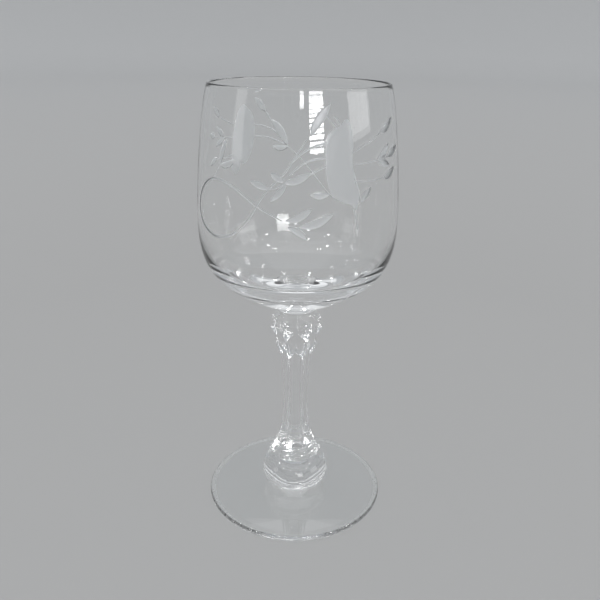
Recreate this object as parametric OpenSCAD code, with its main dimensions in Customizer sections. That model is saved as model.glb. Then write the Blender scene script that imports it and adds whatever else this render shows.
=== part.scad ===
// Stemmed wine glass: a thin bowl on a heavy base, a collar, a six-sided
// stem with a toothed knop above and a fluted bell knop below, and a flat foot.
// Millimetres. The origin is the centre of the circle that the foot rests on,
// +Z runs up the axis, and two of the six flutes face -Y and +Y.

/* [Foot] */
// Diameter of the foot
foot_d = 73.5; // [66:0.5:84]
// Height of the foot from the table to the weld under the lower knop
foot_h = 4.4; // [4:0.1:6]
// Thickness of the foot at its rounded edge
foot_edge_t = 2.2; // [1.6:0.1:2.6]
// Width of the flat ring that touches the table
foot_ring_w = 3; // [1.5:0.5:6]
// Rise of the hollow under the middle of the foot
foot_dish_h = 0.9; // [0.4:0.1:1.2]
// Diameter of the weld between the foot and the lower knop
foot_weld_d = 19; // [16:0.5:22]

/* [Lower knop] */
// Height of the lower knop, from the foot to the shaft
lower_knop_h = 25.6; // [25:0.1:28]
// Largest diameter of the squashed ball at the bottom of the knop
ball_d = 27.8; // [26:0.2:32]
// Diameter of the sharp lip of the bell above the ball
bell_d = 21.8; // [21:0.2:24]
// Diameter of the groove between the ball and the bell
groove_d = 17.2; // [16:0.2:19]
// Width across the six flat ledges at the bottom of the flutes
ledge_w = 17.5; // [17:0.1:18]

/* [Shaft] */
// Height of the plain fluted shaft
shaft_h = 33.5; // [26:0.5:44]
// Distance from the axis to the flutes at the waist of the shaft
waist_r = 3.98; // [3.6:0.02:4.4]
// Long radius of the flutes, which gives the shaft its waist
flute_long_r = 190; // [170:5:260]
// Radius of the flutes across the shaft
flute_across_r = 9; // [8:0.5:12]

/* [Upper knop] */
// Height of the toothed knop, from the shaft to the collar
upper_knop_h = 19.7; // [19.6:0.1:22]
// Diameter over the low ring of teeth
tooth_low_d = 16.8; // [16.4:0.2:17.6]
// Diameter over the middle ring of teeth
tooth_mid_d = 21.2; // [20:0.2:22.4]
// Diameter over the top ring of teeth
tooth_top_d = 20.8; // [20:0.2:21.6]
// Diameter over the ribs at the notches above the low teeth
notch_low_d = 16.2; // [15.8:0.1:16.4]
// Diameter over the ribs at the notches above the middle teeth
notch_high_d = 18.2; // [17.6:0.2:19]

/* [Collar] */
// Height of the collar between the knop and the bowl
collar_h = 2.4; // [2:0.1:4]
// Diameter of the collar where it is narrowest
collar_waist_d = 14.5; // [13:0.1:15]

/* [Bowl] */
// Height of the bowl from its weld to the rim
bowl_h = 84.4; // [78:0.2:100]
// Largest outside diameter of the bowl
bowl_d = 74.9; // [70:0.1:84]
// Outside diameter at the rim
rim_d = 65.2; // [60:0.1:70]
// Wall thickness at the rim, which is melted to a full round
rim_t = 1.2; // [1:0.1:1.6]
// Wall thickness at the widest level of the bowl
wall_t = 1.5; // [1.2:0.1:2]
// Thickness of the glass on the axis, under the cup
base_t = 12; // [9:0.2:14]

/* [Hidden] */
$fn = 120;
glass_clear = [0.86, 0.92, 0.93, 0.55];
glass_cut = [0.74, 0.84, 0.87, 0.75];
steps = 12;
// Levels of the welds, from the table up
lower_knop_z = foot_h;
shaft_z = lower_knop_z + lower_knop_h;
upper_knop_z = shaft_z + shaft_h;
collar_z = upper_knop_z + upper_knop_h;
bowl_z = collar_z + collar_h;
// The shaft is narrowest at this level, a little under its middle
waist_z = shaft_z + 0.48 * shaft_h;
// Radius of the ribs where the shaft meets each knop
rib_r = 6.2;
// Weld radii: shaft ribs, collar on knop, bowl on collar
collar_weld_r = 7.6;
bowl_weld_r = 8.4;
// Flutes of the bell: their depth line swings out to the lip
bell_flute_long_r = 32;
bell_flute_r = 4.8;
bell_flute_rise = 30.3;
lip_rise = 14.9;
groove_rise = 13.4;
ledge_rise = 16.6;
// Ribs of the toothed knop, from the shaft up: distance from the axis and rise
knop_rib = [
    [rib_r - 0.05, 0.6],
    [tooth_low_d / 2, 5.3],
    [notch_low_d / 2, 8.9],
    [tooth_mid_d / 2, 12.5],
    [notch_high_d / 2, 15],
    [tooth_top_d / 2, 17],
    [9.5, 17.8],
    [8.8, upper_knop_h]
];
// Points between the ribs, where a flute runs out and where teeth meet
knop_flute = [[4.9, 3.1], [6.6, 5.9], [7.6, 13.3]];
sector_points = len(knop_rib) + len(knop_flute);
// The cone that rounds the shoulder down to the collar
shoulder_slope = 1.05;

function bezier(p) = [
    for (i = [0:steps])
        let (t = i / steps, s = 1 - t)
            s ^ 3 * p[0] + 3 * s ^ 2 * t * p[1] + 3 * s * t ^ 2 * p[2] + t ^ 3 * p[3]
];
function arc(centre, r, from, to) = [
    for (i = [0:steps])
        let (a = from + (to - from) * i / steps)
            centre + r * [cos(a), sin(a)]
];
// A curve without its first point, so that joined curves share no point
function rest(curve) = [for (i = [1:len(curve) - 1]) curve[i]];

// Six ring-shaped cutters that leave flutes, curved along and across
module flute_cutters(depth_r, level_z, long_r, across_r, span) {
    for (turn = [30:60:330])
        rotate([0, 0, turn])
            translate([depth_r + long_r, 0, level_z])
                rotate([90, 0, 0])
                    rotate([0, 0, 180 - span / 2])
                        rotate_extrude(angle = span, $fn = 720)
                            translate([long_r - across_r, 0])
                                circle(r = across_r, $fn = 72);
}

// The long flutes of the shaft, which end on the upper knop
module shaft_flutes() {
    flute_cutters(waist_r, waist_z, flute_long_r, flute_across_r, 40);
}

// Numbers of the knop's points: on rib k, and in flute k, which follows rib k
function on_rib(k, i) = (k % 6) * sector_points + i;
function in_flute(k, i) = k * sector_points + len(knop_rib) + i;
function turned(line, angle) = [
    for (p = line) [p[0] * cos(angle), p[0] * sin(angle), p[1]]
];
// Facets from one rib to the middle of the flute beside it
function half_sector(rib, k, low) = [
    [low, on_rib(rib, 0), in_flute(k, 0)],
    [on_rib(rib, 0), in_flute(k, 1), in_flute(k, 0)],
    [on_rib(rib, 0), on_rib(rib, 1), in_flute(k, 1)],
    [on_rib(rib, 1), on_rib(rib, 2), in_flute(k, 1)],
    [on_rib(rib, 2), in_flute(k, 2), in_flute(k, 1)],
    for (i = [2:5]) [on_rib(rib, i), on_rib(rib, i + 1), in_flute(k, 2)]
];
function flipped(faces) = [for (f = faces) [f[2], f[1], f[0]]];

// The knop's flat facets: six ribs, each with three teeth one over the other
module toothed_body() {
    low = 6 * sector_points;
    points = [
        for (k = [0:5]) each concat(turned(knop_rib, 60 * k), turned(knop_flute, 60 * k + 30)),
        [0, 0, 0.2]
    ];
    facets = [
        for (k = [0:5]) each concat(
            half_sector(k, k, low),
            flipped(half_sector(k + 1, k, low)),
            [
                [in_flute(k, 2), on_rib(k, 6), on_rib(k + 1, 6)],
                [on_rib(k + 1, 6), on_rib(k, 6), on_rib(k, 7), on_rib(k + 1, 7)]
            ]
        ),
        [for (k = [5:-1:0]) on_rib(k, 7)]
    ];
    polyhedron(points = points, faces = facets);
}

module foot() {
    edge_r = foot_edge_t / 2;
    edge_centre = [foot_d / 2 - edge_r, edge_r];
    ring_in_r = edge_centre[0] - foot_ring_w;
    weld_r = foot_weld_d / 2;
    under = bezier([
        [0, foot_dish_h],
        [ring_in_r * 0.5, foot_dish_h],
        [ring_in_r * 0.8, foot_dish_h * 0.4],
        [ring_in_r, 0]
    ]);
    edge = arc(edge_centre, edge_r, -90, 90);
    top = bezier([
        [edge_centre[0], foot_edge_t],
        [foot_d * 0.3, foot_edge_t + 0.7],
        [weld_r + 2.4, foot_h - 1.3],
        [weld_r, foot_h]
    ]);
    color(glass_clear)
        rotate_extrude()
            polygon(concat(under, edge, rest(top), [[0, foot_h]]));
}

module lower_knop() {
    weld_r = foot_weld_d / 2;
    ball_r = ball_d / 2;
    bell_r = bell_d / 2;
    groove_r = groove_d / 2;
    ball_rise = 5.2;
    ball_low = bezier([
        [weld_r, 0],
        [weld_r + 2, 0.6],
        [ball_r, 2.2],
        [ball_r, ball_rise]
    ]);
    ball_high = bezier([
        [ball_r, ball_rise],
        [ball_r, ball_rise + 3.4],
        [groove_r + 3.6, groove_rise - 1.4],
        [groove_r, groove_rise]
    ]);
    bell = bezier([
        [bell_r, lip_rise + 0.3],
        [bell_r - 1.4, lip_rise + 1.4],
        [rib_r + 1.4, lip_rise + 4.2],
        [rib_r, lower_knop_h]
    ]);
    color(glass_cut)
        translate([0, 0, lower_knop_z])
            difference() {
                rotate_extrude()
                    polygon(concat(
                        [[0, 0]],
                        ball_low,
                        rest(ball_high),
                        [[bell_r, lip_rise]],
                        bell,
                        [[0, lower_knop_h]]
                    ));
                difference() {
                    intersection() {
                        flute_cutters(
                            bell_flute_r, bell_flute_rise, bell_flute_long_r, flute_across_r, 90
                        );
                        translate([0, 0, groove_rise + 0.6])
                            cylinder(r = ball_r, h = lower_knop_h);
                    }
                    cylinder(r = ledge_w / 2 / cos(30), h = ledge_rise, $fn = 6);
                }
            }
}

module stem_shaft() {
    color(glass_cut)
        difference() {
            translate([0, 0, shaft_z])
                cylinder(r = rib_r, h = shaft_h);
            shaft_flutes();
        }
}

module upper_knop() {
    blank_r = tooth_mid_d / 2 + 0.3;
    blank = [
        [0, 0],
        [blank_r, 0],
        [blank_r, upper_knop_h - (blank_r - collar_weld_r) / shoulder_slope],
        [collar_weld_r, upper_knop_h],
        [0, upper_knop_h]
    ];
    color(glass_cut)
        union() {
            difference() {
                translate([0, 0, upper_knop_z])
                    cylinder(r = rib_r, h = 5);
                shaft_flutes();
            }
            translate([0, 0, upper_knop_z])
                intersection() {
                    toothed_body();
                    rotate_extrude()
                        polygon(blank);
                }
        }
}

module collar() {
    waist = bezier([
        [collar_weld_r, 0],
        [collar_waist_d / 2 - 0.2, collar_h * 0.3],
        [collar_waist_d / 2, collar_h * 0.6],
        [bowl_weld_r, collar_h]
    ]);
    color(glass_clear)
        translate([0, 0, collar_z])
            rotate_extrude()
                polygon(concat([[0, 0]], waist, [[0, collar_h]]));
}

module bowl() {
    wide_r = bowl_d / 2;
    rim_r = rim_d / 2;
    // The widest level, and the ring where the cone under the bowl turns up
    wide_rise = 35.9;
    turn_ring = [wide_r - 13.35, 8.4];
    under = bezier([
        [bowl_weld_r, 0],
        [bowl_weld_r + 3.1, 1.4],
        turn_ring - [5.5, 3.7],
        turn_ring
    ]);
    corner = bezier([
        turn_ring,
        turn_ring + [8.7, 5.9],
        [wide_r, wide_rise - 16.6],
        [wide_r, wide_rise]
    ]);
    rim_centre = [rim_r - rim_t / 2, bowl_h - rim_t / 2];
    wall_out = bezier([
        [wide_r, wide_rise],
        [wide_r, wide_rise + 11.7],
        [rim_r + 2.7, bowl_h - 10],
        [rim_r, rim_centre[1]]
    ]);
    rim = arc(rim_centre, rim_t / 2, 0, 180);
    wall_in = bezier([
        [rim_r - rim_t, rim_centre[1]],
        [rim_r - rim_t + 2.6, bowl_h - 10],
        [wide_r - wall_t, wide_rise + 11.7],
        [wide_r - wall_t, wide_rise]
    ]);
    cup_corner = bezier([
        [wide_r - wall_t, wide_rise],
        [wide_r - wall_t, wide_rise - 16],
        [wide_r - 6.8, base_t + 3.3],
        [wide_r - 16, base_t + 1.5]
    ]);
    cup_floor = bezier([
        [wide_r - 16, base_t + 1.5],
        [wide_r - 21.5, base_t + 0.5],
        [8, base_t],
        [0, base_t]
    ]);
    color(glass_clear)
        translate([0, 0, bowl_z])
            rotate_extrude()
                polygon(concat(
                    [[0, 0]],
                    under,
                    rest(corner),
                    rest(wall_out),
                    rest(rim),
                    rest(wall_in),
                    rest(cup_corner),
                    rest(cup_floor)
                ));
}

foot();
lower_knop();
stem_shaft();
upper_knop();
collar();
bowl();
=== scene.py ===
"""The looks of a stemmed wine glass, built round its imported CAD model.

The frame is the model's own: metres, +Z up the axis, the main spray of the engraving on the -Y
side. Every piece of glass is a closed mesh that stands for the CAD node of the same name. Shapes
are worked out in millimetres and turned into metres when a mesh is made. The floor and the lights
are placed in metres.
"""
import math

import bpy
import numpy as np
from mathutils import Matrix, Vector


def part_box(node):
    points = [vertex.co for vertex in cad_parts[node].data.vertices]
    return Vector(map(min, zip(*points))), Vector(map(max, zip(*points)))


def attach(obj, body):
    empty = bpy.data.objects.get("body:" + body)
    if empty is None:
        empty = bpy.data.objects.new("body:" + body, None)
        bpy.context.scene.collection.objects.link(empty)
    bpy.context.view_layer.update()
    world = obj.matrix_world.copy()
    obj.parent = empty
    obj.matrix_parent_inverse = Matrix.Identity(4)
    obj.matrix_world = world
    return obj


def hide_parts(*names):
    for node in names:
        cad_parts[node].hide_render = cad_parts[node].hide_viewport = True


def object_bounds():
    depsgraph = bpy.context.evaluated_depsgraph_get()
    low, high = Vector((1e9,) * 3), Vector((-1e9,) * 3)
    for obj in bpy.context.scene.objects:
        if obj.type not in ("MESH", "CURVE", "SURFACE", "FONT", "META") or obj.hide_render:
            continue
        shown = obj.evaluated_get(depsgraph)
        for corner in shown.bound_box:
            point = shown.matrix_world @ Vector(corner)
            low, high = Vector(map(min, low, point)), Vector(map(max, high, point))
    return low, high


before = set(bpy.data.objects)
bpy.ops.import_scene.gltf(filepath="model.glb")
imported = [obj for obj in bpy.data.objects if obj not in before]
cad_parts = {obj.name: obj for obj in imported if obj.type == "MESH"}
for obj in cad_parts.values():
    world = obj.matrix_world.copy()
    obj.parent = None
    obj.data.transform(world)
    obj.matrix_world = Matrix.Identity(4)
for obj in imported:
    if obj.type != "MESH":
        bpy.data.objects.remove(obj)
cad_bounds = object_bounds()

# ---------------------------------------------------------------- sizes, in millimetres
MM = 0.001


def levels(node):
    """Lowest and highest level of a CAD node, in millimetres."""
    low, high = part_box(node)
    return low.z / MM, high.z / MM


foot_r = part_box("foot")[1].x / MM
wide_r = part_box("bowl")[1].x / MM
lower_knop_z = levels("foot")[1]
shaft_z, upper_knop_z = levels("stem_shaft")
collar_z, bowl_z = levels("collar")
rim_z = levels("bowl")[1]

# Radii of the welds between the pieces. Both welds of the shaft are as wide as its ribs.
foot_weld_r = 9.5
rib_r = 6.2
collar_weld_r = 7.6
bowl_weld_r = 8.4

# The foot: its round edge, the hollow under it, the flat ring that it stands on and the outer part
# of that ring, which is scuffed
foot_edge_r = 1.1
foot_dish = 0.9
foot_ring_width = 3
foot_worn_width = 1.2

# The bowl: its rim, its wall, its thick base and the level where it is widest
rim_r = 32.6
rim_t = 1.2
wall_t = 1.5
base_t = 12.0
wide_z = bowl_z + 35.9

# The six flutes and ribs of the stem: two flutes face -Y and +Y, two ribs face -X and +X. Along the
# shaft, and over the bell of the lower knop, the bottom of each flute is an arc with a waist. The
# bell's arc is followed for bell_reach below its waist. It turns into the shaft's arc over the
# bell_to_shaft under the shaft.
SECTOR = math.radians(60)
flute_across_r = 9.0
waist_r = 3.98
waist_z = shaft_z + 0.48 * (upper_knop_z - shaft_z)
flute_long_r = 190.0
bell_waist_r = 4.8
bell_waist_z = lower_knop_z + 30.3
bell_long_r = 32.0
bell_reach = 30
bell_to_shaft = 6

# The lower knop: the ball, the groove over it, the sharp lip, the flat ledge and the three ridges
ball_r = 13.9
ball_z = lower_knop_z + 5.2
groove_r = 8.6
groove_z = lower_knop_z + 13.4
lip_r = 10.9
lip_z = lower_knop_z + 14.9
ledge_across = 8.75
ledge_z = lower_knop_z + 16.6
ridge_r = 0.3
ridge_rises = (15.4, 16.9, 18.4)

# Edges of pressed glass are melted round over about this width
melt = 0.2

# Points round the foot, the collar and the bowl
AROUND = 256


# ---------------------------------------------------------------- curves
def bezier(start, pull_out, pull_in, end, count=60):
    """A cubic curve from start to end."""
    t = np.linspace(0, 1, count + 1)[:, None]
    s = 1 - t
    ends = s**3 * np.array(start) + t**3 * np.array(end)
    return ends + 3 * s**2 * t * np.array(pull_out) + 3 * s * t**2 * np.array(pull_in)


def arc(centre, radius, start, stop, count=40):
    """Part of a circle, between two angles in degrees."""
    turn = np.radians(np.linspace(start, stop, count + 1))
    return np.array(centre) + radius * np.column_stack([np.cos(turn), np.sin(turn)])


def run_of(line):
    """Distance along a line from its first point to each point."""
    return np.concatenate([[0], np.cumsum(np.hypot(*np.diff(line, axis=0).T))])


def spaced(line, step):
    """The same line with its points about one step apart."""
    run = run_of(line)
    stops = np.linspace(0, run[-1], max(2, round(run[-1] / step)) + 1)
    return np.column_stack([np.interp(stops, run, line[:, k]) for k in (0, 1)])


def joined(*lines):
    """Lines that follow each other, as one line that holds each shared point once."""
    return np.vstack([lines[0]] + [line[1:] for line in lines[1:]])


def softened(line, width, step=0.04):
    """A line whose corners are rounded off over about a width. Its ends stay where they are."""
    fine = spaced(line, step)
    reach = int(3 * width / step)
    weights = np.exp(-0.5 * (np.arange(-reach, reach + 1) * step / width) ** 2)
    before = 2 * fine[0] - fine[reach:0:-1]
    after = 2 * fine[-1] - fine[-2:-reach - 2:-1]
    padded = np.vstack([before, fine, after])
    rounded = [np.convolve(padded[:, k], weights / weights.sum(), "valid") for k in (0, 1)]
    return np.column_stack(rounded)


def smooth_min(a, b, width):
    """The smaller of two values, blended where they are within a width of each other."""
    share = np.clip(0.5 + 0.5 * (b - a) / width, 0, 1)
    return b + (a - b) * share - width * share * (1 - share)


def smooth_step(value, low, high):
    """A smooth rise from 0 at low to 1 at high."""
    t = np.clip((value - low) / (high - low), 0, 1)
    return t * t * (3 - 2 * t)


# ---------------------------------------------------------------- meshes
# Slots of a piece's materials: its clear surface, the flat caps inside its welds and, on the foot
# and the bowl, what is scuffed or ground
GLASS, CAP, MATTE = 0, 1, 2


def ring_faces(count, around):
    """Quads between rings of points, where point p of ring k is number k * around + p."""
    ring, p = np.meshgrid(np.arange(count - 1), np.arange(around), indexing="ij")
    after = (p + 1) % around
    a, b = ring * around + p, ring * around + after
    return np.stack([a, b, b + around, a + around], axis=-1).reshape(-1, 4)


def end_fans(count, around):
    """Triangles from the first ring to a point under it, and from the last to a point over it."""
    p = np.arange(around)
    after = (p + 1) % around
    last = (count - 1) * around
    tip = np.full(around, count * around)
    low = np.column_stack([tip, after, p])
    high = np.column_stack([tip + 1, last + p, last + after])
    return low, high


def mark_sharp_borders(mesh):
    """An edge between faces of two finishes stays sharp, so neither shades into the other."""
    edge_of = np.zeros(len(mesh.loops), np.int32)
    mesh.loops.foreach_get("edge_index", edge_of)
    finish = np.zeros(len(mesh.polygons), np.int32)
    mesh.polygons.foreach_get("material_index", finish)
    sides = np.zeros(len(mesh.polygons), np.int32)
    mesh.polygons.foreach_get("loop_total", sides)
    of_loop = np.repeat(finish, sides)
    lowest = np.full(len(mesh.edges), MATTE)
    highest = np.full(len(mesh.edges), GLASS)
    np.minimum.at(lowest, edge_of, of_loop)
    np.maximum.at(highest, edge_of, of_loop)
    sharp = mesh.attributes.new("sharp_edge", "BOOLEAN", "EDGE")
    sharp.data.foreach_set("value", lowest != highest)


def add_piece(node, points, faces, finish, materials):
    """A smooth closed mesh that stands for a CAD node and rides on the glass."""
    mesh = bpy.data.meshes.new(node + "_glass")
    mesh.from_pydata((points * MM).tolist(), [], faces)
    for material in materials:
        mesh.materials.append(material)
    mesh.polygons.foreach_set("material_index", np.asarray(finish, np.int32))
    mesh.polygons.foreach_set("use_smooth", np.ones(len(faces), bool))
    mark_sharp_borders(mesh)
    mesh.update()
    piece = bpy.data.objects.new(node + "_glass", mesh)
    bpy.context.scene.collection.objects.link(piece)
    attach(piece, "root")
    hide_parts(node)


def add_stack(node, radii, heights, angles, tips, ends, materials, worn=None):
    """A piece made of rings: radii has a row for each ring and a column for each angle.

    tips are the heights of the points that close its two ends, ends the finishes of the two fans
    there. worn says which of the bands between the rings are scuffed."""
    count, around = radii.shape
    ring_z = np.broadcast_to(heights[:, None], radii.shape)
    rings = np.stack([radii * np.cos(angles), radii * np.sin(angles), ring_z], axis=-1)
    points = np.vstack([rings.reshape(-1, 3), [[0, 0, tips[0]], [0, 0, tips[1]]]])
    sides = ring_faces(count, around)
    low, high = end_fans(count, around)
    faces = sides.tolist() + low.tolist() + high.tolist()
    finish = np.repeat([GLASS, *ends], [len(sides), around, around])
    if worn is not None:
        finish[:len(sides)][np.repeat(worn, around)] = MATTE
    add_piece(node, points, faces, finish, materials)


def add_turned(node, outline, tips, ends, materials, worn=None):
    """A turned piece, from an outline of (radius, height) without its points on the axis."""
    angles = np.arange(AROUND) * 2 * math.pi / AROUND
    radii = np.repeat(outline[:, :1], AROUND, axis=1)
    heights = outline[:, 1]
    add_stack(node, radii, heights, angles, tips, ends, materials, worn)


# ---------------------------------------------------------------- foot and collar
def build_foot(materials):
    """The flat foot, from the middle of the hollow under it round its edge to the stem's weld."""
    edge = (foot_r - foot_edge_r, foot_edge_r)
    edge_top = 2 * foot_edge_r
    ring_in = edge[0] - foot_ring_width
    worn_in = edge[0] - foot_worn_width
    under = bezier(
        (0, foot_dish),
        (ring_in * 0.5, foot_dish),
        (ring_in * 0.8, foot_dish * 0.4),
        (ring_in, 0),
    )
    top = bezier(
        (edge[0], edge_top),
        (foot_r * 0.6, edge_top + 0.7),
        (foot_weld_r + 2.4, lower_knop_z - 1.3),
        (foot_weld_r, lower_knop_z),
    )
    outline = joined(
        spaced(under, 0.5),
        spaced(np.array([[ring_in, 0], [worn_in, 0]]), 1.0),
        spaced(np.array([[worn_in, 0], [edge[0], 0]]), 0.6),
        arc(edge, foot_edge_r, -90, 90, 16),
        spaced(top, 0.5),
    )[1:]
    middle = (outline[:-1] + outline[1:]) / 2
    lowest_band = 0.06
    worn = (middle[:, 0] > worn_in) & (middle[:, 1] < lowest_band)
    add_turned("foot", outline, (foot_dish, lower_knop_z), (GLASS, CAP), materials, worn)


def build_collar(materials):
    """The short neck between the upper knop and the bowl."""
    height = bowl_z - collar_z
    waist = bezier(
        (collar_weld_r, 0),
        (7.05, 0.3 * height),
        (7.25, 0.6 * height),
        (bowl_weld_r, height),
    )
    outline = spaced(waist, 0.12) + [0, collar_z]
    add_turned("collar", outline, (collar_z, bowl_z), (CAP, CAP), materials)


# ---------------------------------------------------------------- fluted stem
def stem_blank():
    """The turned outline of the whole stem, before it is fluted and cut."""
    ball_low = bezier(
        (foot_weld_r, lower_knop_z),
        (11.5, lower_knop_z + 0.6),
        (ball_r, lower_knop_z + 2.2),
        (ball_r, ball_z),
    )
    ball_high = bezier(
        (ball_r, ball_z),
        (ball_r, ball_z + 3.4),
        (12.2, groove_z - 1.4),
        (groove_r, groove_z),
    )
    bell = bezier(
        (lip_r, lip_z + 0.3),
        (9.5, lip_z + 1.7),
        (7.6, lip_z + 4.5),
        (rib_r, shaft_z),
    )
    shaft_and_knop = np.array([
        (rib_r, shaft_z),
        (rib_r, upper_knop_z),
        (8.7, upper_knop_z + 5.3),
        (10.9, upper_knop_z + 12.5),
        (10.9, upper_knop_z + 16.56),
        (collar_weld_r, collar_z),
    ])
    lip = np.array([(groove_r, groove_z), (lip_r, lip_z)])
    return softened(joined(ball_low, ball_high, lip, bell, shaft_and_knop), 0.5 * melt)


def knop_facets():
    """The flat facets of the upper knop from the middle of a rib to the middle of a flute.

    The knop is six-sided, with teeth on its ribs whose side facets meet at two points on each
    flute. Corners are (radius, rise above the knop's lower weld)."""
    half = SECTOR / 2
    rib = [
        (6.15, 0.6), (8.4, 5.3), (8.1, 8.9), (10.6, 12.5),
        (9.1, 15.0), (10.4, 17.0), (9.5, 17.8), (8.8, 19.7),
    ]
    flute = [
        (4.9, 3.1), (6.6, 5.9), (7.6, 13.3),
        (9.5 * math.cos(half), 17.8), (8.8 * math.cos(half), 19.7),
    ]
    p = [(r, 0, upper_knop_z + rise) for r, rise in rib]
    q = [(r * math.cos(half), r * math.sin(half), upper_knop_z + rise) for r, rise in flute]
    low_tooth = [(p[0], p[1], q[1]), (p[1], p[2], q[1])]
    high_teeth = [(p[k], p[k + 1], q[2]) for k in (2, 3, 4, 5)]
    on_face = [(p[0], q[1], q[0]), (p[2], q[2], q[1]), (p[6], q[3], q[2])]
    shoulder = [(p[6], p[7], q[4]), (p[6], q[4], q[3])]
    return np.array(low_tooth + high_teeth + on_face + shoulder)


def facet_radius(z, angles, facets):
    """Distance from the axis to the outermost facet at one level and all angles, 0 for none."""
    fold = np.abs((angles + SECTOR / 2) % SECTOR - SECTOR / 2)
    aim = np.stack([np.cos(fold), np.sin(fold), np.zeros_like(fold)], axis=-1)
    best = np.zeros_like(angles)
    for a, b, c in facets:
        normal = np.cross(b - a, c - a)
        reach = normal @ (a - (0, 0, z)) / (aim @ normal)
        spot = aim * reach[:, None] + (0, 0, z)
        edges = ((a, b), (b, c), (c, a))
        sides = [np.cross(end - start, spot - start) @ normal for start, end in edges]
        within = np.min(sides, axis=0) > -1e-3 * (normal @ normal)
        best = np.where(within, np.maximum(best, reach), best)
    return best


def flute_depth(z):
    """Distance from the axis to the bottom of each flute."""
    shaft = waist_r + flute_long_r - np.sqrt(flute_long_r**2 - (z - waist_z) ** 2)
    below = np.clip(z - bell_waist_z, -bell_reach, 0)
    bell = bell_waist_r + bell_long_r - np.sqrt(bell_long_r**2 - below**2)
    share = smooth_step(z, shaft_z - bell_to_shaft, shaft_z)
    return bell + (shaft - bell) * share


def ridges(z):
    """How far the three ridges round the shoulder of the lower knop stand out at one level."""
    offs = [(z - lower_knop_z - rise) / ridge_r for rise in ridge_rises]
    return sum(ridge_r * math.exp(-off**2) for off in offs)


def stem_radius(z, blank, angles, facets):
    """Radius of the stem at one level and all angles."""
    from_flute = angles % SECTOR - SECTOR / 2
    around = np.full_like(angles, blank)
    if z < groove_z:
        return around
    middle = flute_depth(z) + flute_across_r
    across = np.sqrt(np.maximum(0, flute_across_r**2 - (middle * np.sin(from_flute)) ** 2))
    flute = middle * np.cos(from_flute) - across
    if z < ledge_z:
        flute = np.maximum(flute, ledge_across / np.cos(from_flute))
    if z < upper_knop_z:
        return smooth_min(around, flute, melt) + ridges(z)
    shaft = smooth_min(np.full_like(angles, rib_r), flute, melt)
    return np.minimum(np.maximum(shaft, facet_radius(z, angles, facets)), around)


def stem_angles(per_sector=48, crowding=0.6):
    """Angles round the stem that lie closest at the ribs."""
    t = np.arange(6 * per_sector) / per_sector
    return SECTOR * (t - crowding * np.sin(2 * math.pi * t) / (2 * math.pi))


def melted(radii, up_passes=3, round_passes=8):
    """Radii with their sharp edges melted round, first up and down and then round the stem."""
    for _ in range(up_passes):
        radii[1:-1] = (radii[:-2] + 2 * radii[1:-1] + radii[2:]) / 4
    for _ in range(round_passes):
        radii = (np.roll(radii, 1, axis=1) + 2 * radii + np.roll(radii, -1, axis=1)) / 4
    return radii


def build_stem_part(node, low, high, step, materials):
    """One piece of the stem, between two welds, with its rings about a step apart."""
    blank = stem_blank()
    part = blank[(blank[:, 1] > low) & (blank[:, 1] < high)]
    ends = [[np.interp(z, blank[:, 1], blank[:, 0]), z] for z in (low, high)]
    rows = spaced(np.vstack([ends[:1], part, ends[1:]]), step)
    angles = stem_angles()
    facets = knop_facets()
    radii = np.array([stem_radius(z, r, angles, facets) for r, z in rows])
    if node == "upper_knop":
        radii = melted(radii)
    add_stack(node, radii, rows[:, 1], angles, (low, high), (CAP, CAP), materials)


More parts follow.
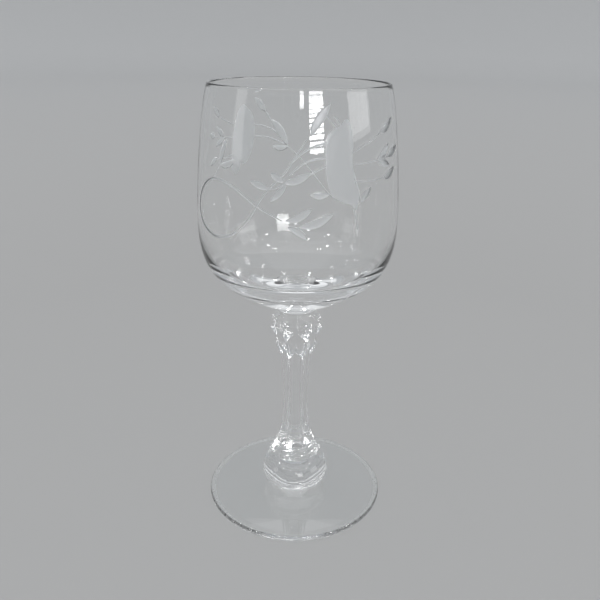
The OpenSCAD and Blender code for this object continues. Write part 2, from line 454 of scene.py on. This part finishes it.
# ---------------------------------------------------------------- engraving
# Places on the bowl are (degrees round it from the middle of its front or of its back, millimetres
# above the table). Each line of a spray is (kind, greatest half width, points): a stem tapers at
# both ends, a leaf swells in its middle, a bud swells near its tip.
FRONT_SPRAY = [
    ("stem", 0.279, [(-14, 140), (-7, 144.5), (-2, 149.5), (4, 155)]),
    ("leaf", 1.5, [(6, 156), (9.5, 160), (17, 166)]),
    ("stem", 0.246, [(13, 163), (18, 160), (23, 156)]),
    ("stem", 0.246, [(19, 162), (21.5, 160), (24, 157)]),
    ("stem", 0.328, [(-4, 147.5), (1, 150.5), (8, 153), (17, 154.5)]),
    ("stem", 0.328, [(-5, 144), (2, 147.5), (8, 149), (16, 149.5)]),
    ("stem", 0.279, [(5, 144), (11, 146), (15, 147)]),
    ("stem", 0.262, [(29, 150.5), (36, 152.5), (43, 154), (51, 156.5)]),
    ("bud", 1.25, [(51, 156), (57, 157.5), (64, 160)]),
    ("stem", 0.262, [(30, 147), (38, 147), (47, 147.3)]),
    ("leaf", 1.2, [(47, 147.5), (52, 149), (58, 152)]),
    ("leaf", 1.25, [(47, 147.2), (52, 146), (58, 145)]),
    ("stem", 0.23, [(51, 147.2), (57, 148)]),
    ("bud", 1.25, [(57, 148), (63, 148.8), (71, 150.5)]),
    ("stem", 0.262, [(30, 141.5), (41, 141), (53, 141.3)]),
    ("bud", 1.35, [(53, 141), (58, 141.8), (65, 143.5)]),
    ("leaf", 1.3, [(-7, 141.5), (-1, 142.5), (6, 144.5)]),
    ("leaf", 1.1, [(-14, 144.5), (-11, 143.3), (-7, 142)]),
    ("leaf", 1.15, [(-25, 141.5), (-20, 140.5), (-14, 139.5)]),
    ("leaf", 1.0, [(-14, 135.5), (-10, 138), (-6, 141)]),
    ("stem", 0.262, [(-16, 139.3), (-11, 140), (-5, 142)]),
    ("leaf", 1.1, [(34, 134.5), (37, 136.5), (41, 139)]),
    ("leaf", 1.05, [(6, 138), (11, 137.6), (16, 138)]),
    ("leaf", 1.3, [(-6, 129.5), (0, 130.5), (7, 133.5)]),
    ("leaf", 1.4, [(0, 127.5), (9, 128.5), (18, 131.5)]),
    ("leaf", 1.1, [(-5, 127.5), (0, 126), (5, 123.5)]),
    ("stem", 0.246, [(30, 132), (31, 129), (32, 125.5)]),
    ("stem", 0.41, [
        (-8, 129.5), (-21, 133.5), (-36, 139), (-50, 140.3), (-62, 136.5), (-68, 129.5),
        (-62, 123.5), (-49, 120.8), (-37, 122.5), (-27, 128), (-19, 136), (-13, 141),
    ]),
]
FRONT_PETAL = [
    (14.5, 155), (14, 149), (14.5, 143), (17.5, 137.5), (24, 135), (28, 134), (30.5, 132),
    (32.5, 134.5), (32.5, 138), (30, 142), (29, 148), (29.5, 154), (28, 159.5), (25.5, 161),
    (22, 159), (18, 158),
]
BACK_SPRAY = [
    ("stem", 0.26, [(64, 156), (54, 153.4), (46, 151.8)]),
    ("bud", 1.3, [(64, 156), (68, 158), (73, 160)]),
    ("leaf", 1.25, [(58, 148), (62.5, 150.3), (67, 152.4)]),
    ("leaf", 1.2, [(56, 147.4), (61, 146.4), (67, 145.2)]),
    ("bud", 1.2, [(69, 148.8), (72, 149.4), (76, 150.2)]),
    ("stem", 0.26, [(69, 148.7), (58, 147.7), (48, 147)]),
    ("bud", 1.3, [(65, 140), (69, 139.4), (74, 138.6)]),
    ("stem", 0.26, [(65, 140), (58, 139.6), (49, 139)]),
    ("leaf", 1.6, [(54, 147), (58, 143), (61, 137.2)]),
    ("leaf", 1.5, [(61, 137.2), (53, 136.6), (45, 138)]),
    ("stem", 0.3, [(61, 137), (66, 134.3), (71, 131.6)]),
    ("stem", 0.26, [(54, 139.8), (48, 140.2), (42, 140)]),
    ("stem", 0.32, [(32, 151.4), (25, 150.7), (18, 149), (13, 147)]),
    ("stem", 0.32, [(32, 146.6), (22, 146), (16, 144.7), (10, 143)]),
    ("leaf", 1.4, [(32, 161.8), (28, 159.6), (23, 156.2)]),
    ("stem", 0.3, [(23, 156.2), (19, 152.6), (15, 150)]),
    ("leaf", 1.7, [(20, 153.2), (13.5, 149.2), (7, 142)]),
    ("leaf", 1.2, [(18, 142.2), (12.5, 141.2), (7, 141.8)]),
    ("stem", 0.28, [
        (7, 141.8), (-1, 137.2), (-9, 131.4), (-18, 124.5), (-24, 121.3), (-32, 119.4),
    ]),
    ("leaf", 0.6, [(-31, 140.3), (-37, 135.5), (-47, 120)]),
]
BACK_PETAL = [
    (41, 159.4), (37, 158), (33, 155.5), (31, 151), (31.5, 144), (34, 139), (38, 135.8),
    (41, 136.5), (42.5, 133.5), (46, 132.2), (49, 134.5), (48.5, 139), (49, 144), (48, 150),
    (45, 156.8),
]
# Each side of the bowl: its middle in degrees round from the front, its lines and its petal
SIDES = [(0, FRONT_SPRAY, FRONT_PETAL), (180, BACK_SPRAY, BACK_PETAL)]

# A line gets deeper from its edges by the slope, down to its full depth. A petal is flat inside
# its sloping border.
cut_slope = 0.75
cut_depth = 0.34
petal_depth = 0.2
petal_border = 1.2

# A distance farther than any that matters, and how far from a cut its distance is worked out
FAR = 99.0
near_cut = 4


def smooth_path(points, closed=False, per_span=10):
    """A Catmull-Rom curve through the points."""
    p = np.array(points, float)
    if closed:
        p = np.vstack([p[-1:], p, p[:2]])
    else:
        p = np.vstack([2 * p[0] - p[1], p, 2 * p[-1] - p[-2]])
    a, b, c, d = p[:-3, None], p[1:-2, None], p[2:-1, None], p[3:, None]
    t = np.linspace(0, 1, per_span, endpoint=False)[None, :, None]
    square = (2 * a - 5 * b + 4 * c - d) * t**2
    cube = (3 * b - a - 3 * c + d) * t**3
    curve = 0.5 * (2 * b + (c - a) * t + square + cube)
    curve = curve.reshape(-1, 2)
    return curve if closed else np.vstack([curve, p[-2:-1]])


def half_widths(kind, widest, share):
    """Half width of a cut at each share of its length."""
    if kind == "leaf":
        return widest * np.sin(math.pi * share) ** 0.75
    if kind == "bud":
        return widest * np.sin(math.pi * share**0.8) ** 0.6
    return widest * np.minimum(1, 0.45 + 4 * np.minimum(share, 1 - share))


def unrolled(places):
    """Places on the bowl as millimetres round it, a little inside its widest radius, and up."""
    around = np.radians(places[:, 0]) * (wide_r - 0.5)
    return np.column_stack([around, places[:, 1]])


def stroke_distance(spots, line, widths):
    """Distance of spots from the edge of a tapered line, below zero inside it."""
    best = np.full(len(spots), FAR)
    for start, end, w0, w1 in zip(line[:-1], line[1:], widths[:-1], widths[1:]):
        along = end - start
        t = np.clip((spots - start) @ along / (along @ along), 0, 1)
        gap = np.hypot(*(spots - start - t[:, None] * along).T)
        best = np.minimum(best, gap - w0 - (w1 - w0) * t)
    return best


def outline_distance(spots, loop):
    """Distance of spots from a closed outline, below zero inside it."""
    best = np.full(len(spots), FAR)
    inside = np.zeros(len(spots), bool)
    for start, end in zip(loop, np.roll(loop, -1, axis=0)):
        along = end - start
        t = np.clip((spots - start) @ along / (along @ along), 0, 1)
        best = np.minimum(best, np.hypot(*(spots - start - t[:, None] * along).T))
        crosses = (start[1] > spots[:, 1]) != (end[1] > spots[:, 1])
        rise = (spots[:, 1] - start[1]) / (end[1] - start[1] + 1e-12)
        inside ^= crosses & (spots[:, 0] < start[0] + rise * along[0])
    return np.where(inside, -best, best)


def nearby(spots, line):
    """The numbers of the spots that lie within reach of the box round a line."""
    low, high = line.min(axis=0) - near_cut, line.max(axis=0) + near_cut
    return np.flatnonzero(((spots > low) & (spots < high)).all(axis=1))


def engraving(angles, heights):
    """How far each angle and height is from the edge of a cut, below zero inside, and how deep.

    Angles are in radians from +X, and the front of the bowl is at -Y."""
    distance = np.full(len(angles), FAR)
    depth = np.zeros(len(angles))
    for turn, spray, petal in SIDES:
        degrees = (np.degrees(angles) + 90 - turn + 180) % 360 - 180
        spots = unrolled(np.column_stack([degrees, heights]))
        for kind, widest, points in spray:
            line = unrolled(smooth_path(points))
            share = run_of(line) / run_of(line)[-1]
            near = nearby(spots, line)
            gap = stroke_distance(spots[near], line, half_widths(kind, widest, share))
            distance[near] = np.minimum(distance[near], gap)
            depth[near] = np.maximum(depth[near], np.minimum(cut_depth, -gap * cut_slope))
        loop = unrolled(smooth_path(petal, closed=True))
        near = nearby(spots, loop)
        gap = outline_distance(spots[near], loop)
        distance[near] = np.minimum(distance[near], gap)
        depth[near] = np.maximum(depth[near], petal_depth * smooth_step(-gap, 0, petal_border))
    return distance, depth


# ---------------------------------------------------------------- bowl
def bowl_outline():
    """The bowl's line from the weld up the outside, over the rim and down to the middle of the cup.

    It is given twice: finely, and as the rows of points that the mesh starts from."""
    turn = np.array([wide_r - 13.35, bowl_z + 8.4])
    rim_low = rim_z - rim_t / 2
    shoulder_z = rim_z - 10
    in_rim_r = rim_r - rim_t
    in_r = wide_r - wall_t
    floor = bowl_z + base_t
    shelf = (wide_r - 16, floor + 1.5)
    base = bezier(
        (bowl_weld_r, bowl_z),
        (bowl_weld_r + 3.1, bowl_z + 1.4),
        turn - [5.5, 3.7],
        turn,
    )
    side = bezier(turn, turn + [8.7, 5.9], (wide_r, wide_z - 16.6), (wide_r, wide_z))
    upper = bezier(
        (wide_r, wide_z),
        (wide_r, wide_z + 11.7),
        (rim_r + 2.7, shoulder_z),
        (rim_r, rim_low),
    )
    rim = arc((rim_r - rim_t / 2, rim_low), rim_t / 2, 0, 180)
    in_upper = bezier(
        (in_rim_r, rim_low),
        (in_rim_r + 2.6, shoulder_z),
        (in_r, wide_z + 11.7),
        (in_r, wide_z),
    )
    in_side = bezier((in_r, wide_z), (in_r, wide_z - 16), (wide_r - 6.8, floor + 3.3), shelf)
    cup_floor = bezier(shelf, (wide_r - 21.5, floor + 0.5), (8, floor), (0, floor))
    lines = [base, side, upper, rim, in_upper, in_side, cup_floor]
    steps = [0.7, 0.8, 1.0, 0.16, 1.4, 0.8, 0.8]
    rows = [spaced(line, step) for line, step in zip(lines, steps)]
    return joined(*lines), joined(*rows)


def edges_of(triangles):
    """The edges of the triangles, each once, and the numbers of each triangle's three."""
    ends = np.sort(triangles[:, [[0, 1], [1, 2], [2, 0]]].reshape(-1, 2), axis=1)
    edges, which = np.unique(ends, axis=0, return_inverse=True)
    return edges, which.reshape(-1, 3)


def split(places, triangles, edges, which, cut, share):
    """Splits triangles at the edges marked in cut, at a share of the way along each of them.

    places has one row for each point, and its first column is an angle."""
    first, second = places[edges[cut, 0]], places[edges[cut, 1]]
    step = second - first
    step[:, 0] = (step[:, 0] + math.pi) % (2 * math.pi) - math.pi
    middles = first + step * share[:, None]
    number = np.full(len(edges), -1)
    number[cut] = len(places) + np.arange(cut.sum())
    middle = number[which]
    made = [triangles[(middle < 0).all(axis=1)]]
    for turn in range(3):
        a, b, c = (triangles[:, (turn + k) % 3] for k in range(3))
        ab, bc, ca = (middle[:, (turn + k) % 3] for k in range(3))
        one = (ab >= 0) & (bc < 0) & (ca < 0)
        two = (ab >= 0) & (bc >= 0) & (ca < 0)
        made += [np.column_stack(t)[one] for t in ((a, ab, c), (ab, b, c))]
        made += [np.column_stack(t)[two] for t in ((ab, b, bc), (a, ab, bc), (a, bc, c))]
        if turn == 0:
            all_three = (ab >= 0) & (bc >= 0) & (ca >= 0)
            fours = ((a, ab, ca), (ab, b, bc), (ca, bc, c), (ab, bc, ca))
            made += [np.column_stack(t)[all_three] for t in fours]
    return np.vstack([places, middles]), np.vstack(made)


def build_bowl(materials):
    """The bowl, from a grid of points that is split along the edges of the engraving.

    A point's place is (angle, distance along the bowl's line)."""
    fine, rows = bowl_outline()
    run = run_of(fine)
    row_run = run_of(rows)
    rings = (row_run * run[-1] / row_run[-1])[:-1]
    turn, along = np.meshgrid(np.arange(AROUND) * 2 * math.pi / AROUND, rings)
    places = np.column_stack([turn.ravel(), along.ravel()])
    places = np.vstack([places, [[0, 0], [0, run[-1]]]])
    quads = ring_faces(len(rings), AROUND)
    low, high = end_fans(len(rings), AROUND)
    triangles = np.vstack([quads[:, [0, 1, 2]], quads[:, [0, 2, 3]], low, high])
    low_tip, high_tip = len(places) - 2, len(places) - 1
    wall_start_z = bowl_z + 20
    wall_end = run[np.argmax(fine[:, 1])]

    def measured(places):
        """What engraving says, for places on the outer wall. There is no cut anywhere else."""
        heights = np.interp(places[:, 1], run, fine[:, 1])
        distance, depth = engraving(places[:, 0], heights)
        on_wall = (places[:, 1] < wall_end) & (heights > wall_start_z)
        return np.where(on_wall, distance, FAR), np.where(on_wall, depth, 0.0)

    for reach in (1.0, 0.5):
        edges, which = edges_of(triangles)
        near = np.abs(measured(places)[0]) < reach
        cut = np.zeros(len(edges), bool)
        cut[which[near[triangles].any(axis=1)].ravel()] = True
        halves = np.full(cut.sum(), 0.5)
        places, triangles = split(places, triangles, edges, which, cut, halves)

    # Points that are almost on the edge of a cut count as on it, so no sliver is split off there
    on_edge = 0.035
    distance, depth = measured(places)
    distance[np.abs(distance) < on_edge] = 0
    edges, which = edges_of(triangles)
    cut = distance[edges[:, 0]] * distance[edges[:, 1]] < 0
    d0, d1 = distance[edges[cut, 0]], distance[edges[cut, 1]]
    places, triangles = split(places, triangles, edges, which, cut, d0 / (d0 - d1))
    extra = np.zeros(len(places) - len(distance))
    distance = np.concatenate([distance, extra])
    depth = np.where(distance < 0, np.concatenate([depth, extra]), 0)

    radius = np.interp(places[:, 1], run, fine[:, 0])
    height = np.interp(places[:, 1], run, fine[:, 1])
    tangent = np.gradient(fine, run, axis=0)
    tangent /= np.hypot(*tangent.T)[:, None]
    radius = radius - depth * np.interp(places[:, 1], run, tangent[:, 1])
    height = height + depth * np.interp(places[:, 1], run, tangent[:, 0])
    cos, sin = np.cos(places[:, 0]), np.sin(places[:, 0])
    points = np.column_stack([radius * cos, radius * sin, height])
    points[low_tip] = (0, 0, bowl_z)
    points[high_tip] = (0, 0, rows[-1, 1])
    finish = np.where(distance[triangles].min(axis=1) < 0, MATTE, GLASS)
    finish[(triangles == low_tip).any(axis=1)] = CAP
    add_piece("bowl", points, triangles.tolist(), finish, materials)


# ---------------------------------------------------------------- materials
GLASS_IOR = 1.52


def new_material(name):
    """An empty material, with its nodes and its links."""
    material = bpy.data.materials.new(name)
    material.use_nodes = True
    material.node_tree.nodes.clear()
    return material, material.node_tree.nodes, material.node_tree.links


def noise(nodes, links, wavelength, detail=2.0):
    """A noise of 0 to 1 in the object's own coordinates, with its wavelength in metres."""
    place = nodes.new("ShaderNodeTexCoord")
    texture = nodes.new("ShaderNodeTexNoise")
    texture.inputs["Scale"].default_value = 1 / wavelength
    texture.inputs["Detail"].default_value = detail
    links.new(place.outputs["Object"], texture.inputs["Vector"])
    return texture.outputs["Fac"]


def mapped(nodes, links, value, value_range, result_range=(0, 1)):
    """A value moved from one range to another."""
    node = nodes.new("ShaderNodeMapRange")
    node.inputs["From Min"].default_value, node.inputs["From Max"].default_value = value_range
    node.inputs["To Min"].default_value, node.inputs["To Max"].default_value = result_range
    links.new(value, node.inputs["Value"])
    return node.outputs["Result"]


def bump(nodes, links, height, depth):
    """A bump from a height of 0 to 1, with its depth in metres."""
    node = nodes.new("ShaderNodeBump")
    node.inputs["Strength"].default_value = 1.0
    node.inputs["Distance"].default_value = depth
    links.new(height, node.inputs["Height"])
    return node.outputs["Normal"]


def glass_shader(nodes, tint, roughness=0.0):
    """A glass shader that tints the light a little at each face it goes through."""
    shader = nodes.new("ShaderNodeBsdfPrincipled")
    shader.inputs["Base Color"].default_value = (*tint, 1)
    shader.inputs["Transmission Weight"].default_value = 1.0
    shader.inputs["Roughness"].default_value = roughness
    shader.inputs["IOR"].default_value = GLASS_IOR
    return shader


def set_surface(nodes, links, shader):
    """Makes a shader's output the surface of the material."""
    out = nodes.new("ShaderNodeOutputMaterial")
    links.new(shader, out.inputs["Surface"])


def finish_glass(nodes, links, shader, tint):
    """Lets light from lamps and from the room through the glass to what is behind it, tinted."""
    path = nodes.new("ShaderNodeLightPath")
    clear = nodes.new("ShaderNodeBsdfTransparent")
    clear.inputs["Color"].default_value = (*tint, 1)
    surface = shader.outputs["BSDF"]
    for ray in ("Is Diffuse Ray", "Is Shadow Ray"):
        mix = nodes.new("ShaderNodeMixShader")
        links.new(path.outputs[ray], mix.inputs["Fac"])
        links.new(surface, mix.inputs[1])
        links.new(clear.outputs["BSDF"], mix.inputs[2])
        surface = mix.outputs["Shader"]
    set_surface(nodes, links, surface)


def clear_glass(name, tint, ripple, depth):
    """Fire-polished glass with slow ripples, of a wavelength and a depth in metres."""
    material, nodes, links = new_material(name)
    shader = glass_shader(nodes, tint)
    ripples = bump(nodes, links, noise(nodes, links, ripple), depth)
    links.new(ripples, shader.inputs["Normal"])
    finish_glass(nodes, links, shader, (0.975, 0.98, 0.98))
    return material


def worn_glass(name):
    """Glass with the fine scuffs of the ring that a glass stands on."""
    material, nodes, links = new_material(name)
    shader = glass_shader(nodes, (0.99, 0.995, 0.995))
    scuffs = mapped(nodes, links, noise(nodes, links, 0.0008), (0.35, 0.65), (0.25, 0.4))
    links.new(scuffs, shader.inputs["Roughness"])
    finish_glass(nodes, links, shader, (0.95, 0.96, 0.96))
    return material


def frosted_glass(name):
    """Glass ground matte by the engraver's wheel, with fine upright wheel marks."""
    material, nodes, links = new_material(name)
    place = nodes.new("ShaderNodeTexCoord")
    stretch = nodes.new("ShaderNodeMapping")
    stretch.inputs["Scale"].default_value = (1600, 1600, 120)
    marks = nodes.new("ShaderNodeTexNoise")
    marks.inputs["Scale"].default_value = 1.0
    marks.inputs["Detail"].default_value = 2.0
    links.new(place.outputs["Object"], stretch.inputs["Vector"])
    links.new(stretch.outputs["Vector"], marks.inputs["Vector"])
    clearness = mapped(nodes, links, marks.outputs["Fac"], (0.3, 0.7), (0.7, 0.9))
    shader = glass_shader(nodes, (0.94, 0.96, 0.97), 0.42)
    links.new(clearness, shader.inputs["Transmission Weight"])
    grain = bump(nodes, links, noise(nodes, links, 0.0003, 3.0), 0.00003)
    links.new(grain, shader.inputs["Normal"])
    finish_glass(nodes, links, shader, (0.85, 0.86, 0.86))
    return material


def weld(name):
    """The inside of a weld, where two pieces are one glass and nothing shows."""
    material, nodes, links = new_material(name)
    clear = nodes.new("ShaderNodeBsdfTransparent")
    set_surface(nodes, links, clear.outputs["BSDF"])
    return material


def plain_floor(name):
    """Matte paper with painted light: its colour is painted paler far out, where less of the light
    falls, to even out how bright it looks.
    """
    material, nodes, links = new_material(name)
    place = nodes.new("ShaderNodeTexCoord")
    from_middle = nodes.new("ShaderNodeVectorMath")
    from_middle.operation = "LENGTH"
    links.new(place.outputs["Object"], from_middle.inputs[0])
    far_out = mapped(nodes, links, from_middle.outputs["Value"], (0.3, 3.5))
    # Painted light: the paper's colour runs from darker near the glass to paler far out, making up
    # for the light that falls off there
    painted_light_ramp = nodes.new("ShaderNodeValToRGB")
    painted_light_ramp.color_ramp.elements[0].color = (0.45, 0.445, 0.44, 1)
    painted_light_ramp.color_ramp.elements[1].color = (0.74, 0.735, 0.73, 1)
    links.new(far_out, painted_light_ramp.inputs["Fac"])
    shader = nodes.new("ShaderNodeBsdfPrincipled")
    links.new(painted_light_ramp.outputs["Color"], shader.inputs["Base Color"])
    shader.inputs["Roughness"].default_value = 0.6
    shader.inputs["Specular IOR Level"].default_value = 0
    set_surface(nodes, links, shader.outputs["BSDF"])
    return material


# ---------------------------------------------------------------- studio
def add_camera():
    """The camera stands in front of the glass, a little above its rim, and looks down at it."""
    height = cad_bounds[1].z
    away, up = 1.46665 * height, 1.09406 * height
    pitch, yaw, roll = math.radians(21.53), math.radians(0.302), math.radians(0.803)
    level = Vector((math.sin(yaw), math.cos(yaw), 0))
    forward = level * math.cos(pitch) - Vector((0, 0, math.sin(pitch)))
    right = Vector((math.cos(yaw), -math.sin(yaw), 0))
    above = right.cross(forward)
    rolled_right = right * math.cos(roll) + above * math.sin(roll)
    rolled_above = above * math.cos(roll) - right * math.sin(roll)
    turn = Matrix((rolled_right, rolled_above, -forward)).transposed().to_4x4()
    camera = bpy.data.cameras.new("camera")
    camera.sensor_width = 36
    camera.lens = 40.62
    camera.clip_start = 0.01
    thing = bpy.data.objects.new("camera", camera)
    thing.matrix_world = Matrix.Translation((0, -away, up)) @ turn
    bpy.context.scene.collection.objects.link(thing)
    bpy.context.scene.camera = thing


def add_floor():
    """A wide round floor just under the foot, which sweeps up at its edge."""
    middle_r, radius, sweep = 0.05, 3.0, 1.5
    below = 0.00005
    line = joined(
        spaced(np.array([(middle_r, 0.0), (radius, 0.0)]), 0.2),
        arc((radius, sweep), sweep, -90, 12, 30),
    )
    around = 128
    angles = np.arange(around) * 2 * math.pi / around
    rings = [[(r * math.cos(a), r * math.sin(a), z - below) for a in angles] for r, z in line]
    points = [point for ring in rings for point in ring] + [(0, 0, -below)]
    tip = len(points) - 1
    faces = ring_faces(len(line), around)[:, ::-1].tolist()
    faces += [(tip, p, (p + 1) % around) for p in range(around)]
    mesh = bpy.data.meshes.new("floor")
    mesh.from_pydata(points, [], faces)
    mesh.polygons.foreach_set("use_smooth", np.ones(len(faces), bool))
    mesh.materials.append(plain_floor("floor_paper"))
    floor = bpy.data.objects.new("floor", mesh)
    bpy.context.scene.collection.objects.link(floor)


def add_softbox(name, direction, size, radiance, distance=1.4, lights_floor=False):
    """A soft light that faces the glass.

    direction is (azimuth, elevation) in degrees: azimuth 0 is in front, 90 is to the right. size
    is (width, height). A light that doesn't light the floor shows in the glass only."""
    azimuth, elevation = (math.radians(angle) for angle in direction)
    level = math.cos(elevation)
    away = Vector((math.sin(azimuth) * level, -math.cos(azimuth) * level, math.sin(elevation)))
    width, height = size
    light = bpy.data.lights.new(name, "AREA")
    light.shape = "RECTANGLE"
    light.size = width
    light.size_y = height
    light.energy = radiance * math.pi * width * height
    thing = bpy.data.objects.new(name, light)
    thing.location = Vector((0, 0, 0.6 * cad_bounds[1].z)) + away * distance
    thing.rotation_mode = "QUATERNION"
    thing.rotation_quaternion = (-away).to_track_quat("-Z", "Y")
    thing.visible_diffuse = lights_floor
    bpy.context.scene.collection.objects.link(thing)


def add_window():
    """A tall window with slats, made of narrow softboxes one over the other."""
    slats = 13
    lowest, spacing = 5.2, 1.5
    for k in range(slats):
        add_softbox("window_%d" % k, (20, lowest + spacing * k), (0.38, 0.024), 15)


def add_lamps():
    """A ring of small ceiling lamps, lower and larger in front of the glass than behind it."""
    lamps = 10
    for k in range(lamps):
        azimuth = 360 / lamps * (k + 0.5)
        frontness = math.cos(math.radians(azimuth))
        side = 0.06 + 0.02 * frontness
        place = (azimuth, 50 - 12 * frontness)
        add_softbox("lamp_%d" % k, place, (side, side), 40, lights_floor=True)


def add_lights():
    """The window and panels that show in the glass, and the sky and lamps that light it all."""
    add_window()
    add_softbox("sky", (0, 90), (5.0, 5.0), 0.6, distance=2.4, lights_floor=True)
    add_softbox("window_edge", (3, 21), (0.1, 0.2), 12)
    add_softbox("side", (74, 15), (0.7, 0.5), 1.8)
    add_softbox("side_far", (-72, 12), (0.35, 0.6), 0.9)
    add_lamps()


def add_world():
    """Dim, even light from all round."""
    world = bpy.data.worlds.new("room")
    bpy.context.scene.world = world
    world.use_nodes = True
    background = world.node_tree.nodes["Background"]
    background.inputs["Color"].default_value = (0.9, 0.95, 1.0, 1)
    background.inputs["Strength"].default_value = 0.45


def set_light_paths():
    """Lets light go through many layers of glass, and leaves small bright reflections unclamped."""
    cycles = bpy.context.scene.cycles
    cycles.max_bounces = 40
    cycles.transmission_bounces = 40
    cycles.glossy_bounces = 12
    cycles.transparent_max_bounces = 32
    cycles.caustics_refractive = False
    cycles.caustics_reflective = False
    cycles.sample_clamp_indirect = 0
    bpy.context.scene.view_settings.view_transform = "Standard"


# ---------------------------------------------------------------- the scene
add_camera()
clear = clear_glass("clear_glass", (0.996, 0.999, 0.998), 0.02, 0.00002)
pressed = clear_glass("stem_glass", (0.996, 0.999, 0.999), 0.0045, 0.00006)
inside = weld("weld")
frost = frosted_glass("engraving")
worn = worn_glass("worn_glass")
build_foot([clear, inside, worn])
build_stem_part("lower_knop", lower_knop_z, shaft_z, 0.2, [pressed, inside])
build_stem_part("stem_shaft", shaft_z, upper_knop_z, 0.4, [pressed, inside])
build_stem_part("upper_knop", upper_knop_z, collar_z, 0.15, [pressed, inside])
build_collar([clear, inside])
build_bowl([clear, inside, frost])
add_floor()
add_lights()
add_world()
set_light_paths()
